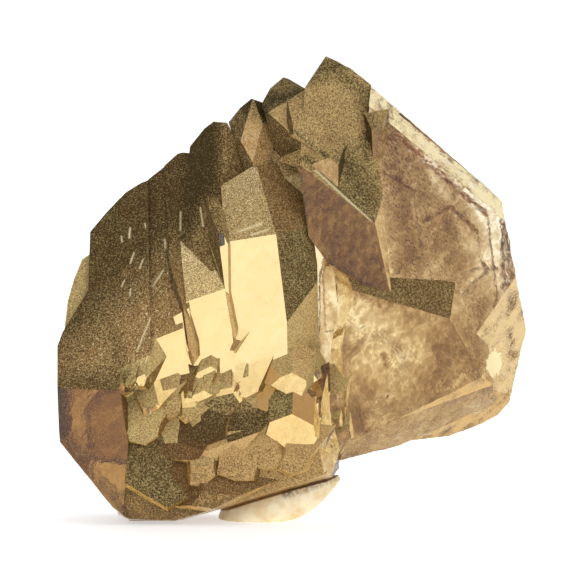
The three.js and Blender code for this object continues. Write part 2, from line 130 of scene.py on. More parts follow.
# What covers the crystal. Each line holds for the faces that look one way and whose middle lies in a
# range across and up, in millimetres, and the first line that fits a face counts. The amounts are chlorite
# dust, how olive the dust is, how pale it is, smoke, frost, and how deep the face is broken or etched.
FINISHES = ("dust", "olive", "bright", "smoke", "frost", "broken")
COVERINGS = (
    # faces      across         up            dust  olive bright smoke frost broken
    # the broad face at the low left
    ("front", (-34, -23.5), (0, 19.5), (0.10, 0.0, 0.50, 3.80, 0.35, 0.0)),
    # brown bands between the clear faces
    ("front", (-15.2, -13.4), (25, 28), (0.45, 0.1, 0.40, 2.40, 0.10, 0.0)),
    ("front", (-9.4, -8.4), (27, 30), (0.45, 0.1, 0.55, 2.00, 0.10, 0.0)),
    ("front", (-8.4, -7.8), (24, 26), (0.40, 0.1, 0.10, 4.00, 0.10, 0.0)),
    # the clear faces
    ("front", (-22.4, -0.9), (22.9, 34), (0.03, 0.5, 0.40, 0.10, 0.12, 0.0)),
    # the six-sided face
    ("front", (-3.5, 1.0), (18.9, 20), (0.08, 0.3, 0.40, 0.50, 0.30, 0.0)),
    # the seven-sided face
    ("front", (-3.5, 1.8), (12, 14), (0.04, 0.3, 0.40, 0.35, 0.20, 0.0)),
    # bright bands between the steps
    ("front", (-20.5, -19), (15.5, 16.5), (0.10, 0.2, 0.90, 0.20, 0.20, 0.0)),
    ("front", (-22, -20.5), (19.8, 20.6), (0.10, 0.2, 0.90, 0.20, 0.20, 0.0)),
    ("front", (-14, -11.8), (17.4, 22), (0.10, 0.2, 0.90, 0.20, 0.20, 0.0)),
    ("front", (-6.8, -5.6), (17.8, 18.6), (0.10, 0.2, 0.90, 0.20, 0.20, 0.0)),
    # speckled olive blocks
    ("front", (-18.5, -13.5), (14.4, 17), (0.85, 0.45, 0.55, 0.80, 0.10, 0.0)),
    ("front", (-24, -17.5), (12, 23), (0.88, 0.75, 0.60, 0.60, 0.10, 0.0)),
    ("front", (-13, -4), (14.4, 18.9), (0.92, 0.75, 0.30, 1.60, 0.10, 0.0)),
    # dark blocks under them, painted shade drawn as dark dust and smoke
    ("front", (-14, -9), (12, 14.4), (0.95, 0.70, 0.02, 2.40, 0.10, 0.0)),
    ("front", (-19, -13), (9.5, 12), (0.75, 0.20, 0.05, 3.00, 0.10, 0.0)),
    # tan blocks lower down
    ("front", (-11, -8), (10, 12), (0.70, 0.1, 0.70, 0.60, 0.10, 0.0)),
    ("front", (-19, -11.5), (6, 9.5), (0.75, 0.2, 0.50, 1.60, 0.10, 0.0)),
    # tan lobes
    ("front", (-12, 4), (4, 11.6), (0.80, 0.10, 0.50, 1.10, 0.10, 0.0)),
    # the big olive lobe and the dark foot under it
    ("front", (-24, -16), (4, 9), (0.95, 0.85, 0.24, 1.20, 0.10, 0.0)),
    ("front", (-24, -9), (0, 6), (0.60, 0.4, 0.20, 2.60, 0.20, 0.0)),
    # narrow clear faces beside the veiled one
    ("front", (0.5, 4.4), (10, 22), (0.05, 0.5, 0.50, 0.20, 0.00, 0.0)),
    ("front", (3.5, 5.4), (22, 40), (0.00, 0.5, 0.50, 0.20, 0.15, 0.0)),
    # the pale right edge
    ("front", (28, 34), (10, 40), (0.66, 0.0, 1.24, 0.40, 0.30, 0.0)),
    # the brown face under the diagonal shoulder
    ("front", (5.5, 9), (38, 46), (0.12, 0.3, 0.40, 5.60, 1.50, 0.0)),
    # the veiled face and the slips above it
    ("front", (4, 28), (8, 28), (0.00, 0.5, 0.30, 1.80, 1.00, 0.0)),
    ("front", (4, 34), (28, 60), (0.00, 0.5, 0.30, 1.90, 0.70, 0.0)),
    # small faces between the others
    ("front", (-34, 34), (0, 70), (0.70, 0.7, 0.50, 0.80, 0.15, 0.0)),
    # a small clear slope between the tall faces
    ("roof", (-8, -7), (25.5, 27), (0.02, 0.5, 0.50, 0.10, 0.00, 0.0)),
    # the greenish strip at the left
    ("roof", (-34, -28.6), (27, 40), (0.88, 0.9, 0.60, 0.60, 0.20, 0.0)),
    # the broad brown face of the first ridge crystal
    ("roof", (-34, -15.5), (26, 60), (0.93, 0.1, 0.40, 0.50, 0.10, 0.0)),
    # the speckled triangle
    ("roof", (-15.4, -12.9), (32, 37), (0.52, 0.6, 0.42, 0.10, 0.05, 0.0)),
    # the roof of the second ridge crystal
    ("roof", (-13, -11), (40, 52), (0.97, 0.5, 0.26, 0.70, 0.05, 0.0)),
    # the speckled pentagon
    ("roof", (-8, -5.5), (40, 47), (0.64, 0.6, 0.42, 0.20, 0.05, 0.0)),
    # the bright facet of the third ridge crystal, paled as a painted highlight, and the dark one beside it
    ("roof", (-6.4, -5), (53, 56), (0.72, 0.0, 0.66, 0.60, 0.60, 0.0)),
    ("roof", (-9.4, -8.2), (48, 52), (0.94, 0.4, 0.18, 0.80, 0.10, 0.0)),
    # the pale facet of the fourth ridge crystal
    ("roof", (-1.3, 0.4), (55, 58.6), (0.82, 0.4, 0.60, 0.60, 0.10, 0.0)),
    # the dark caps of the ridge
    ("roof", (-9, 1.7), (55, 62), (0.94, 0.75, 0.26, 0.80, 0.10, 0.0)),
    # the brown roof at the left of the diagonal shoulder
    ("roof", (-3, 1.7), (40, 48), (0.92, 0.15, 0.26, 0.80, 0.10, 0.0)),
    # small facets of the ridge
    ("roof", (-8, 1.7), (47, 60), (0.85, 0.35, 0.38, 0.60, 0.20, 0.0)),
    # the tallest crystal
    ("roof", (1.7, 12), (44, 66), (0.78, 0.50, 0.47, 0.60, 0.15, 0.0)),
    # the dark ledge
    ("roof", (10, 24), (28, 36), (0.92, 0.6, 0.26, 0.80, 0.10, 0.0)),
    # the clear slope at the right of the veiled face
    ("roof", (24, 27), (20, 30), (0.00, 0.5, 0.30, 0.60, 0.50, 0.0)),
    # the pale rim
    ("roof", (12, 34), (36, 60), (0.55, 0.0, 1.60, 0.00, 0.60, 0.6)),
    # bright slopes of the steps
    ("roof", (-19, -17.8), (18, 19), (0.12, 0.2, 0.90, 0.20, 0.20, 0.0)),
    ("roof", (-15.2, -14.4), (16.6, 17.4), (0.12, 0.2, 0.90, 0.20, 0.20, 0.0)),
    ("roof", (-9.2, -7.2), (19, 20.4), (0.12, 0.2, 0.90, 0.20, 0.20, 0.0)),
    ("roof", (-6.4, -4.4), (20, 21.4), (0.12, 0.2, 0.90, 0.10, 0.10, 0.0)),
    # smoky slopes with little dust
    ("roof", (-4.8, -2.6), (17, 21), (0.10, 0.2, 0.50, 3.00, 0.10, 0.0)),
    ("roof", (0.5, 4.4), (15.5, 20), (0.15, 0.2, 0.40, 3.20, 0.10, 0.0)),
    # dusted slopes, from the highest steps to the foot
    ("roof", (-15, -13), (20, 21.4), (0.60, 0.5, 0.10, 3.00, 0.10, 0.0)),
    ("roof", (-2.5, -1), (16, 17.2), (0.90, 0.9, 0.35, 1.20, 0.10, 0.0)),
    ("roof", (0, 2.5), (22, 23.4), (0.70, 0.2, 0.60, 1.20, 0.10, 0.0)),
    ("roof", (-12, -4), (12.5, 16.4), (0.92, 0.75, 0.14, 1.60, 0.10, 0.0)),
    ("roof", (-15.5, -13.5), (10, 14), (0.90, 0.3, 0.05, 2.40, 0.10, 0.0)),
    ("roof", (-18, -12), (4, 8.5), (0.70, 0.2, 0.05, 3.00, 0.10, 0.0)),
    ("roof", (-24, -18), (4, 12), (0.90, 0.85, 0.25, 1.20, 0.10, 0.0)),
    ("roof", (-12, 4), (4, 7), (0.70, 0.1, 0.20, 2.60, 0.10, 0.0)),
    ("roof", (-12, 4), (7, 13), (0.80, 0.1, 0.65, 1.00, 0.10, 0.0)),
    # the rest of the steps
    ("roof", (-24, 9), (4, 26), (0.82, 0.7, 0.62, 0.50, 0.05, 0.0)),
    # narrow sides between the tall faces and on the ridge
    ("side", (-16, -13), (22, 31), (0.45, 0.1, 0.30, 2.60, 0.10, 0.0)),
    ("side", (-10, -8.7), (32, 38), (0.70, 0.5, 0.70, 1.00, 0.10, 0.0)),
    ("side", (-10, -7), (22, 32), (0.45, 0.1, 0.40, 2.60, 0.10, 0.0)),
    ("side", (-5, -3.5), (51.5, 53), (0.90, 0.1, 0.45, 0.90, 0.10, 0.0)),
    # clear steps beside the veiled face
    ("side", (2.9, 9), (8, 21), (0.12, 0.2, 0.60, 0.90, 0.50, 0.0)),
    # the olive side at the right of the clear faces
    ("side", (-2, 3), (29, 42), (0.95, 0.9, 0.24, 0.80, 0.10, 0.0)),
    ("side", (-2, 3), (15, 29), (0.85, 0.7, 0.66, 0.60, 0.10, 0.0)),
    # the clear side next to the veiled face
    ("side", (5.5, 9), (25, 34), (0.00, 0.4, 0.15, 0.20, 0.30, 0.0)),
    # smoky sides of the steps, their smoke also painted shade between the steps
    ("side", (-24, 9), (4, 24), (0.50, 0.3, 0.10, 3.20, 0.10, 0.0)),
    # the other sides of the left half
    ("side", (-34, 12), (20, 70), (0.92, 0.6, 0.14, 0.90, 0.10, 0.0)),
    # the clear face under the pale rim
    ("side", (9, 26), (0, 60), (0.00, 0.5, 0.30, 0.74, 0.36, 0.0)),
    # the ragged right edge
    ("side", (26, 34), (0, 60), (0.54, 0.0, 1.26, 0.20, 0.90, 2.0)),
    # the smoky low end of the back
    ("back", (-34, -24.5), (0, 24), (0.00, 0.8, 0.30, 2.60, 0.60, 0.0)),
    # the back of the pale rim
    ("back", (18, 34), (45, 60), (0.30, 0.0, 1.60, 0.00, 0.60, 0.7)),
    # etched plates behind the right half
    ("back", (26, 34), (10, 50), (0.00, 0.8, 0.30, 0.60, 0.90, 1.2)),
    ("back", (3.5, 34), (0, 66), (0.00, 0.8, 0.30, 1.70, 0.80, 0.5)),
    # clear plates behind the left half
    ("back", (-34, 34), (0, 66), (0.02, 0.8, 0.30, 0.10, 0.05, 0.0)),
    # the broken underside, from its pale right end to the left
    ("under", (20, 34), (10, 20), (0.55, 0.0, 1.05, 0.40, 0.80, 1.0)),
    ("under", (-15, 34), (0, 66), (0.24, 0.0, 0.80, 1.40, 0.80, 1.0)),
    ("under", (-34, 34), (0, 66), (0.00, 0.5, 0.30, 1.40, 0.60, 0.6)),
)
ELSEWHERE = (0.60, 0.7, 0.40, 0.60, 0.20, 0.0)  # the few faces that no line fits

# Smoky streaks, painted shade and clearer seams in the tint of the crystal: both ends across and up, and
# width, in millimetres, and how much smoke, where a negative amount is clearer than what lies around it.
STREAKS = (
    # painted shade in the groove under the diagonal shoulder, drawn as a dark smoky wedge
    ((4.9, 36.0), (13.4, 30.9), 0.9, 4.5),
    ((6.0, 33.8), (12.0, 30.2), 0.5, 2.4),
    # smoke beside the tallest crystal
    ((13.4, 55.0), (16.4, 36.0), 4.2, 4.2),
    # rows of dark pits on the clear face under the pale rim
    ((16.6, 50.0), (22.0, 40.0), 1.4, 3.0),
    ((21.0, 48.0), (26.4, 38.0), 1.3, 3.0),
    ((21.4, 41.0), (22.0, 34.0), 3.2, 3.0),
    ((25.0, 35.0), (26.4, 30.0), 3.0, 2.0),
    # clearer strips along the rim and down the right edge
    ((17.0, 54.4), (28.6, 41.0), 2.6, -1.8),
    ((26.6, 42.0), (27.4, 33.0), 3.4, -1.6),
    # dark spots and short streaks
    ((25.4, 24.0), (27.4, 18.0), 2.6, 2.4),
    ((17.6, 46.0), (20.0, 37.0), 0.8, 2.4),
    ((12.5, 23.2), (13.0, 21.6), 0.6, 4.5),
    ((9.2, 14.9), (9.6, 13.0), 1.4, 4.0),
    ((19.6, 24.6), (20.2, 22.6), 0.7, 3.0),
    ((5.0, 30.0), (7.4, 24.0), 1.2, 2.0),
    # the clearer middle of the veiled face
    ((8.0, 29.0), (15.0, 22.0), 6.0, -2.4),
    # smoke at its right
    ((19.5, 19.0), (25.5, 28.0), 4.0, 1.8),
    ((24.0, 16.8), (21.8, 12.9), 0.8, 2.4),
    # thin pale seams
    ((16.6, 44.8), (17.4, 37.0), 0.35, -2.0),
    ((22.0, 33.9), (28.9, 36.8), 0.55, -2.4),
    ((23.8, 33.4), (26.5, 34.0), 0.8, -2.4),
    ((18.0, 41.2), (22.8, 42.4), 0.3, -1.6),
    ((11.0, 42.0), (13.2, 33.0), 0.5, -2.4),
    ((22.2, 17.8), (26.6, 19.4), 0.5, -2.4),
    # the broad face at the low left, darker towards its left edge and banded
    ((-32.0, 21.0), (-30.6, 5.0), 3.6, 1.7),
    ((-24.6, 18.6), (-31.6, 17.6), 0.7, 1.6),
    ((-24.4, 15.0), (-32.0, 14.0), 0.9, -1.4),
    ((-24.4, 11.6), (-31.0, 10.8), 0.7, 1.4),
)

# Thin painted highlights along edges, and pale ticks and scratches: both ends across and up, and width, in
# millimetres.
GLINTS = (
    # ticks on the broad brown face
    ((-23.0, 40.7), (-23.1, 39.5), 0.26),
    ((-24.2, 39.6), (-24.1, 38.9), 0.20),
    ((-20.9, 41.4), (-20.8, 40.9), 0.18),
    ((-18.1, 39.2), (-18.0, 38.1), 0.20),
    ((-22.4, 37.4), (-22.9, 36.0), 0.20),
    ((-21.1, 36.5), (-21.6, 35.3), 0.18),
    ((-23.7, 33.6), (-24.1, 32.8), 0.18),
    ((-22.8, 32.5), (-22.9, 31.6), 0.18),
    # on the second ridge crystal
    ((-15.9, 43.0), (-15.9, 40.6), 0.22),
    ((-13.1, 43.7), (-12.7, 41.2), 0.20),
    # painted highlights slanting down the broad brown face
    ((-18.3, 35.0), (-19.7, 32.9), 0.22),
    ((-19.9, 28.8), (-21.8, 24.2), 0.22),
    # painted highlights under the speckled pentagon
    ((-7.8, 40.6), (-4.6, 41.7), 0.30),
    ((-6.0, 40.2), (-3.6, 40.9), 0.22),
    # a painted highlight along the diagonal shoulder
    ((3.0, 49.0), (10.8, 41.9), 0.26),
    # painted highlights along the pale rim
    ((13.4, 55.9), (20.4, 49.9), 0.30),
    ((20.4, 49.9), (29.3, 42.4), 0.26),
)

# Painted shade on the dusted faces, drawn as thicker, darker and greener chlorite: both ends across and
# up, and width, in millimetres, and how much, where a negative amount paints the dust thinner, lighter and
# browner.
SHADES = (
    # the cap and the right side of the tallest crystal
    ((1.5, 62.6), (6.5, 63.6), 2.6, 1.0),
    ((6.5, 62.4), (11.0, 58.6), 2.0, 0.6),
    ((10.1, 54.0), (10.1, 50.5), 1.4, 0.8),
    ((7.6, 49.6), (10.4, 44.6), 4.0, 0.9),
    ((9.2, 60.0), (11.2, 54.0), 2.0, 0.5),
    # the tip of the third ridge crystal
    ((-6.6, 58.8), (-5.2, 57.4), 2.6, 1.3),
    # the foot and the right edge of the broad brown face
    ((-32.4, 20.0), (-24.0, 19.4), 4.6, 0.75),
    ((-25.4, 27.5), (-24.0, 20.0), 2.4, 0.5),
    # the second ridge crystal
    ((-11.4, 44.0), (-12.6, 37.5), 2.6, -0.8),
    # along the diagonal shoulder
    ((1.6, 50.8), (11.2, 41.9), 0.8, 1.0),
    # a crease of the tallest crystal
    ((0.0, 54.4), (6.0, 49.8), 0.5, 1.0),
    # the top of the fourth ridge crystal
    ((-3.6, 58.6), (0.6, 59.6), 1.2, 0.8),
)


# Shader nodes


class Value:
    """A number in a shader: a socket that can be worked with in plain expressions."""

    def __init__(self, shader, socket):
        self.shader = shader
        self.socket = socket

    def __add__(self, other):
        return self.shader.maths("ADD", self, other)

    def __sub__(self, other):
        return self.shader.maths("SUBTRACT", self, other)

    def __rsub__(self, other):
        return self.shader.maths("SUBTRACT", other, self)

    def __mul__(self, other):
        return self.shader.maths("MULTIPLY", self, other)

    def __truediv__(self, other):
        return self.shader.maths("DIVIDE", self, other)

    def __pow__(self, other):
        return self.shader.maths("POWER", self, other)

    def __rpow__(self, other):
        return self.shader.maths("POWER", other, self)

    __radd__ = __add__
    __rmul__ = __mul__

    def clamped(self):
        """The value, kept from 0 to 1."""
        return self.shader.maths("ADD", self, 0.0, clamp=True)

    def at_least(self, other):
        """The larger of two values."""
        return self.shader.maths("MAXIMUM", self, other)

    def between(self, low, high):
        """0 at low, 1 at high, and a straight ramp from one to the other."""
        return ((self - low) * (1 / (high - low))).clamped()


class Shader:
    """A node tree that is written as calls and expressions."""

    def __init__(self, owner):
        owner.use_nodes = True
        self.tree = owner.node_tree
        self.tree.nodes.clear()

    def feed(self, slot, value):
        """Link a value to a slot, or set the slot where the value is a plain number or colour."""
        if isinstance(value, Value):
            value = value.socket
        if isinstance(value, bpy.types.NodeSocket):
            self.tree.links.new(value, slot)
        elif slot.type == "RGBA" and len(value) == 3:
            slot.default_value = (*value, 1.0)
        else:
            slot.default_value = value

    def add(self, kind, settings=None, **sockets):
        """A node by type, with its settings set first, then the values or links of its sockets."""
        node = self.tree.nodes.new("ShaderNode" + kind)
        for name, value in (settings or {}).items():
            setattr(node, name, value)
        for name, value in sockets.items():
            key = int(name[1:]) if name[0] == "_" else name.replace("_", " ")
            self.feed(node.inputs[key], value)
        return node

    def value(self, node, output=0):
        """A node's output as a value."""
        return Value(self, node.outputs[output])

    def maths(self, operation, *values, clamp=False):
        """The result of a Math node."""
        node = self.add("Math", {"operation": operation, "use_clamp": clamp})
        for slot, value in zip(node.inputs, values):
            self.feed(slot, value)
        return self.value(node)

    def mix(self, share, first, second):
        """A colour between two, all of the second one where share is 1."""
        node = self.add("Mix", {"data_type": "RGBA"}, Factor=share, _6=first, _7=second)
        return node.outputs[2]

    def blend(self, share, first, second):
        """A surface between two, all of the second one where share is 1."""
        return self.add("MixShader", _0=share, _1=first, _2=second).outputs[0]

    def noise(self, place, size, detail):
        """Cloudy noise whose patches are about twice as wide as size, in metres."""
        return self.value(self.add("TexNoise", Vector=place, Scale=1 / size, Detail=detail), "Fac")

    def swing(self, place, size, detail, spread):
        """Noise from -0.5 to 0.5, which reaches an end wherever it strays by spread from its middle."""
        return self.noise(place, size, detail).between(0.5 - spread, 0.5 + spread) - 0.5

    def attribute(self, name):
        """What the faces of a mesh hold under a name."""
        return self.value(self.add("Attribute", {"attribute_name": name}), "Fac")

    def millimetres(self, place, axes):
        """Some of a place's coordinates, each as a number of millimetres."""
        parts = self.add("SeparateXYZ", Vector=place)
        return [self.value(parts, axis) * (1 / MM) for axis in axes]

    def leaning(self, place, lean, across=1.0, up=1.0):
        """Coordinates that draw a pattern out across or up, turned by some degrees in the broad plane."""
        turn = (0, math.radians(lean), 0)
        scale = (across, 1.0, up)
        node = self.add("Mapping", {"vector_type": "TEXTURE"}, Vector=place, Rotation=turn, Scale=scale)
        return node.outputs[0]

    def faded(self, colour, depth):
        """White light after some depth of a colour."""
        red, green, blue = (part ** depth for part in colour)
        return self.add("CombineColor", Red=red, Green=green, Blue=blue).outputs[0]

    def line(self, across, height, start, end, width):
        """1 along a line in the broad plane, falling to 0 at its width."""
        run = Vector(end) - Vector(start)
        length = run.length
        run.normalize()
        right, up = across - start[0], height - start[1]
        along = right * run.x + up * run.y
        past = (0.0 - along).at_least(along - length).at_least(0.0)
        aside = right * run.y - up * run.x
        away = (aside * aside + past * past) ** 0.5
        return away.between(width, 0.0)


# Crystal


class Spot:
    """A spot on the crystal: where it lies, what covers it, and the noises that its finishes share."""

    def __init__(self, shader, grain):
        self.shader = shader
        self.place = shader.add("TexCoord").outputs["Object"]
        self.across, self.deep, self.height = shader.millimetres(self.place, "XYZ")
        amounts = [shader.attribute(name) for name in FINISHES if name != "broken"]
        self.dust, self.olive, self.bright, self.smoke, self.frost = amounts
        self.drift = shader.noise(self.place, DRIFT_SIZE, 3.0)
        self.fine = shader.noise(self.place, grain, 1.0)
        self.cloud = shader.swing(self.place, CLOUD_SIZE, 3.0, 0.15)
        slanting = shader.leaning(self.place, 40, across=0.7, up=3.0)
        self.bands = shader.swing(slanting, BAND_SIZE, 4.0, 0.12)

    def line(self, start, end, width):
        """1 along a line across the crystal, falling to 0 at its width."""
        return self.shader.line(self.across, self.height, start, end, width)


def dust_and_painted_shade(spot):
    """Thicker, darker, greener chlorite under the left half's skyline, and painted shade along the shades.
    """
    above_skyline = spot.height - SKYLINE_RISE * spot.across - SKYLINE_HEIGHT
    dark_dust_and_shade = (above_skyline + (spot.drift - 0.5) * SKYLINE_WAVER).between(*SKYLINE_BAND)
    dark_dust_and_shade = dark_dust_and_shade * spot.across.between(*SKYLINE_END) * spot.dust.between(*THICK_DUST)
    dusted = spot.dust.between(*SHADED_DUST)
    # each shade is painted shade, laid on as darker dust
    for start, end, width, amount in SHADES:
        shade = spot.line(start, end, width) * amount * dusted
        dark_dust_and_shade = dark_dust_and_shade.at_least(shade) if amount > 0 else dark_dust_and_shade + shade
    return dark_dust_and_shade


def dust_grains(spot, dark_dust_and_shade):
    """1 where a grain of chlorite lies: hardly any where the cover is 0, and a full coat where it is 1."""
    worn = (spot.cloud + spot.bands) * spot.bright.between(*WORN) * 0.4
    cover = (spot.dust * (0.8 + 0.4 * spot.drift) + dark_dust_and_shade * spot.dust * 0.5 + worn).clamped()
    return (spot.fine - (0.74 - cover * 0.56)).between(-0.05, 0.05)


def pale_ticks(spot, dark_dust_and_shade):
    """Short steep ticks on the broad brown face."""
    drawn_out = spot.shader.leaning(spot.place, 20, up=6.0)
    ticks = spot.shader.noise(drawn_out, TICK_SIZE, 1.0).between(0.66, 0.69)
    ticks = ticks * spot.dust.between(*TICKED_DUST) * spot.across.between(*TICKS_END) * (1 - dark_dust_and_shade)
    return ticks * spot.height.between(*TICKS_FOOT)


def pale_chip(spot):
    """The chip at the right edge, a ragged oval at the front."""
    ragged = spot.shader.noise(spot.place, CHIP_EDGE_SIZE, 2.0) * 2.4 - 1.2
    across = (spot.across - CHIP_MIDDLE[0]) / CHIP_HALF[0]
    up = (spot.height - CHIP_MIDDLE[1]) / CHIP_HALF[1]
    return (across * across + up * up + ragged).between(1.05, 0.95) * spot.deep.between(*CHIP_BACK)


def pale_marks_and_highlights(spot, dark_dust_and_shade):
    """The ticks, the chip, and the ticks and painted highlights of the glints, which lie on the front half
    alone.
    """
    # pale holds the pale ticks and chip, and the painted highlights of the glints
    pale = pale_ticks(spot, dark_dust_and_shade).at_least(pale_chip(spot))
    broken_up = (0.4 + 0.5 * spot.fine.between(*SPECKLED)) * spot.deep.between(*GLINTS_BACK)
    for start, end, width in GLINTS:
        pale = pale.at_least(spot.line(start, end, width) * broken_up)
    return pale


def clear_quartz(spot, smoke):
    """Clear crystal, with smoke as a tint, and frost as roughness, flakes and pits."""
    shader = spot.shader
    flaky = shader.leaning(spot.place, 10, across=0.9, up=1.3)
    flakes = shader.swing(flaky, FLAKE_SIZE, 6.0, 0.08)
    pitted = shader.leaning(spot.place, -35, across=0.5, up=1.4)
    pits = shader.noise(pitted, PIT_SIZE, 2.0).between(0.52, 0.66)
    depth = spot.smoke + (spot.cloud + spot.bands + flakes * 1.3 + pits * 0.9) * spot.frost
    for start, end, width, amount in STREAKS:
        depth = depth + spot.line(start, end, width) * (amount * (0.35 + pits))
    tint = shader.faded(smoke, depth.at_least(0.0))
    relief = shader.add("Bump", Height=flakes + spot.bands, Strength=spot.frost * 0.35, Distance=0.2 * MM)
    roughness = 0.02 + spot.frost * (0.12 + 0.15 * flakes)
    return shader.add("BsdfPrincipled", Base_Color=tint, Roughness=roughness, IOR=QUARTZ_IOR,
                      Transmission_Weight=1.0, Normal=relief.outputs[0])


def chlorite(spot, look, dark_dust_and_shade, pale):
    """Dull powder, brown to olive and dark to pale, darker under painted shade, cream in pale places and
    painted highlights.
    """
    shader = spot.shader
    coarse = shader.noise(spot.place, COARSE_GRAINS * look.grain, 2.0)
    # darker where the dust is thicker and under the painted shade
    lit = spot.bright * 1.5 - 0.75 - dark_dust_and_shade * 0.45 + (spot.drift - 0.5) * 0.4
    tone = (spot.fine.between(*SPECKLED) * 0.6 + coarse.between(*SPECKLED) * 0.5 + lit).clamped()
    brown = shader.mix(tone, look.brown_dark, look.brown_pale)
    olive = shader.mix(tone, look.olive_dark, look.olive_pale)
    greening = (spot.olive + dark_dust_and_shade * 0.7 + (spot.drift - 0.5) * 0.8).clamped()
    paling = pale.at_least(spot.bright.between(*CREAMY))
    powder = shader.mix(paling, shader.mix(greening, brown, olive), look.cream)
    return shader.add("BsdfPrincipled", Base_Color=powder, Roughness=0.7, Specular_IOR_Level=0.2)


def smoky_quartz(look):
    """Clear crystal that darkens with depth, smoky and frosted in places, and chlorite grains on top."""
    material = bpy.data.materials.new("smoky_quartz")
    shader = Shader(material)
    spot = Spot(shader, look.grain)
    dark_dust_and_shade = dust_and_painted_shade(spot)
    pale = pale_marks_and_highlights(spot, dark_dust_and_shade)
    clear = clear_quartz(spot, look.smoke)
    dust = chlorite(spot, look, dark_dust_and_shade, pale)
    covered = dust_grains(spot, dark_dust_and_shade).at_least(pale)
    surface = shader.blend(covered, clear.outputs[0], dust.outputs[0])
    inside = shader.add("VolumeAbsorption", Color=look.body, Density=look.depth)
    shader.add("OutputMaterial", Surface=surface, Volume=inside.outputs[0])
    return material


# Putty and floor


def putty_paste(look):
    """Handled putty with fine prints and a painted contact shadow along the crystal."""
    material = bpy.data.materials.new("putty")
    shader = Shader(material)
    place = shader.add("TexCoord").outputs["Object"]
    across, height = shader.millimetres(place, "XZ")
    patch = shader.noise(place, 1.5 * MM, 4.0).between(0.4, 0.65)
    smudge = shader.noise(place, 0.5 * MM, 3.0).between(0.3, 0.6)
    # a painted contact shadow where the crystal meets the putty
    painted_shadow = shader.line(across, height, SHADOW_START, SHADOW_END, SHADOW_WIDTH) * smudge
    colour = shader.mix(painted_shadow, shader.mix(patch, look.pale, look.shade), look.shadow_colour)
    skin = shader.noise(place, 0.4 * MM, 4.0)
    prints = shader.add("Bump", Height=skin, Strength=0.25, Distance=0.2 * MM)
    paste = shader.add("BsdfPrincipled", Base_Color=colour, Roughness=0.6 + patch * 0.2,
                       Normal=prints.outputs[0])
    shader.add("OutputMaterial", Surface=paste.outputs[0])
    return material


def floor_white(look):
    """Plain pale floor that gives back some light of its own."""
    material = bpy.data.materials.new("floor")
    shader = Shader(material)
    place = shader.add("TexCoord").outputs["Object"]
    wear = shader.noise(place, 40 * MM, 3.0)
    paint = shader.add("BsdfPrincipled", Base_Color=(0.9, 0.9, 0.89), Roughness=0.55 + wear * 0.1,
                       Emission_Color=(1, 1, 1), Emission_Strength=look.floor_glow)
    shader.add("OutputMaterial", Surface=paint.outputs[0])
    return material


# Mesh work


def new_object(name, body, material):
    """An object at the origin, from a bmesh and one material."""
    mesh = bpy.data.meshes.new(name)
    body.to_mesh(mesh)
    body.free()
    mesh.materials.append(material)
    piece = bpy.data.objects.new(name, mesh)
    bpy.context.scene.collection.objects.link(piece)
    return piece


def merged(node):
    """A CAD node's triangles as one welded bmesh with its flat faces whole."""
    body = bmesh.new()
    body.from_mesh(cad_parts[node].data)
    bmesh.ops.remove_doubles(body, verts=body.verts, dist=WELD)
    bmesh.ops.dissolve_limit(body, angle_limit=FLAT, verts=body.verts, edges=body.edges)
    return body


def looks(normal):
    """The way a face looks: front, back, roof (up and forward), side or under."""
    if normal.y < -0.85 and abs(normal.z) < 0.2:
        return "front"
    if normal.z < -0.45:
        return "under"
    if normal.y > 0.3:
        return "back"
    return "roof" if normal.z > 0.3 else "side"


def covering(face):
    """The amounts of the first covering that fits a face."""
    way = looks(face.normal)
    middle = face.calc_center_median_weighted() / MM
    for wanted, (left, right), (low, high), amounts in COVERINGS:
        if way == wanted and left <= middle.x <= right and low <= middle.z <= high:
            return amounts
    return ELSEWHERE


def broken_surface(body):
    """The broken and etched faces alone, to measure how far a point lies from them."""
    layer = body.faces.layers.float["broken"]
    rough = [face for face in body.faces if face[layer] >= ROUGH]
    places = [vert.co for face in rough for vert in face.verts]
    triples = [(index, index + 1, index + 2) for index in range(0, len(places), 3)]
    return BVHTree.FromPolygons(places, triples)


def refine(body, surface, finest):
    """Cut the triangles down to the finest length near a surface, and less further away from it."""
    for _ in range(ROUNDS):
        long = []
        for edge in body.edges:
            middle = (edge.verts[0].co + edge.verts[1].co) / 2
            if edge.calc_length() > finest + COARSENING * surface.find_nearest(middle)[3]:
                long.append(edge)
        if not long:
            return
        bmesh.ops.subdivide_edges(body, edges=long, cuts=1)
        bmesh.ops.triangulate(body, faces=[face for face in body.faces if len(face.verts) > 3])


def dent_at(place):
    """How deep a broken face is dented at a place, from about 0 to 1: shallow shells and small chips."""
    spot = place / MM
    shells = 0.5 + 0.5 * noise.fractal(spot * SHELL_WAVES, 1.0, 2.0, 2)
    chips = 0.5 + 0.5 * noise.fractal(spot * CHIP_WAVES + CHIP_SHIFT, 0.8, 2.1, 3)
    return 0.6 * shells + 0.4 * chips


def eased(depths, edges):
    """Make the depths shallower until no dent is steeper than STEEPEST along an edge."""
    for _ in range(ROUNDS):
        for edge in edges:
            first, second = edge.verts
            most = STEEPEST * edge.calc_length()
            depths[first] = min(depths[first], depths[second] + most)
            depths[second] = min(depths[second], depths[first] + most)


def dent(body, surface, deepest):
    """Break up the rough faces and what lies close by, always inwards and never steep."""
    layer = body.faces.layers.float["broken"]
    depths = {}
    for vert in body.verts:
        amount = max(face[layer] for face in vert.link_faces)
        away = surface.find_nearest(vert.co)[3]
        if away < DENT_REACH:
            amount = max(amount, BESIDE * (1 - away / DENT_REACH))
        if vert.co.z < STANDING:
            amount = 0.0
        depths[vert] = deepest * amount * dent_at(vert.co)
    eased(depths, body.edges)
    for vert, depth in depths.items():
        core = Vector((CORE_SHARE * vert.co.x, CORE_DEEP, CORE_SHARE * vert.co.z + CORE_UP))
        vert.co += (core - vert.co).normalized() * depth


# Sizes and colours


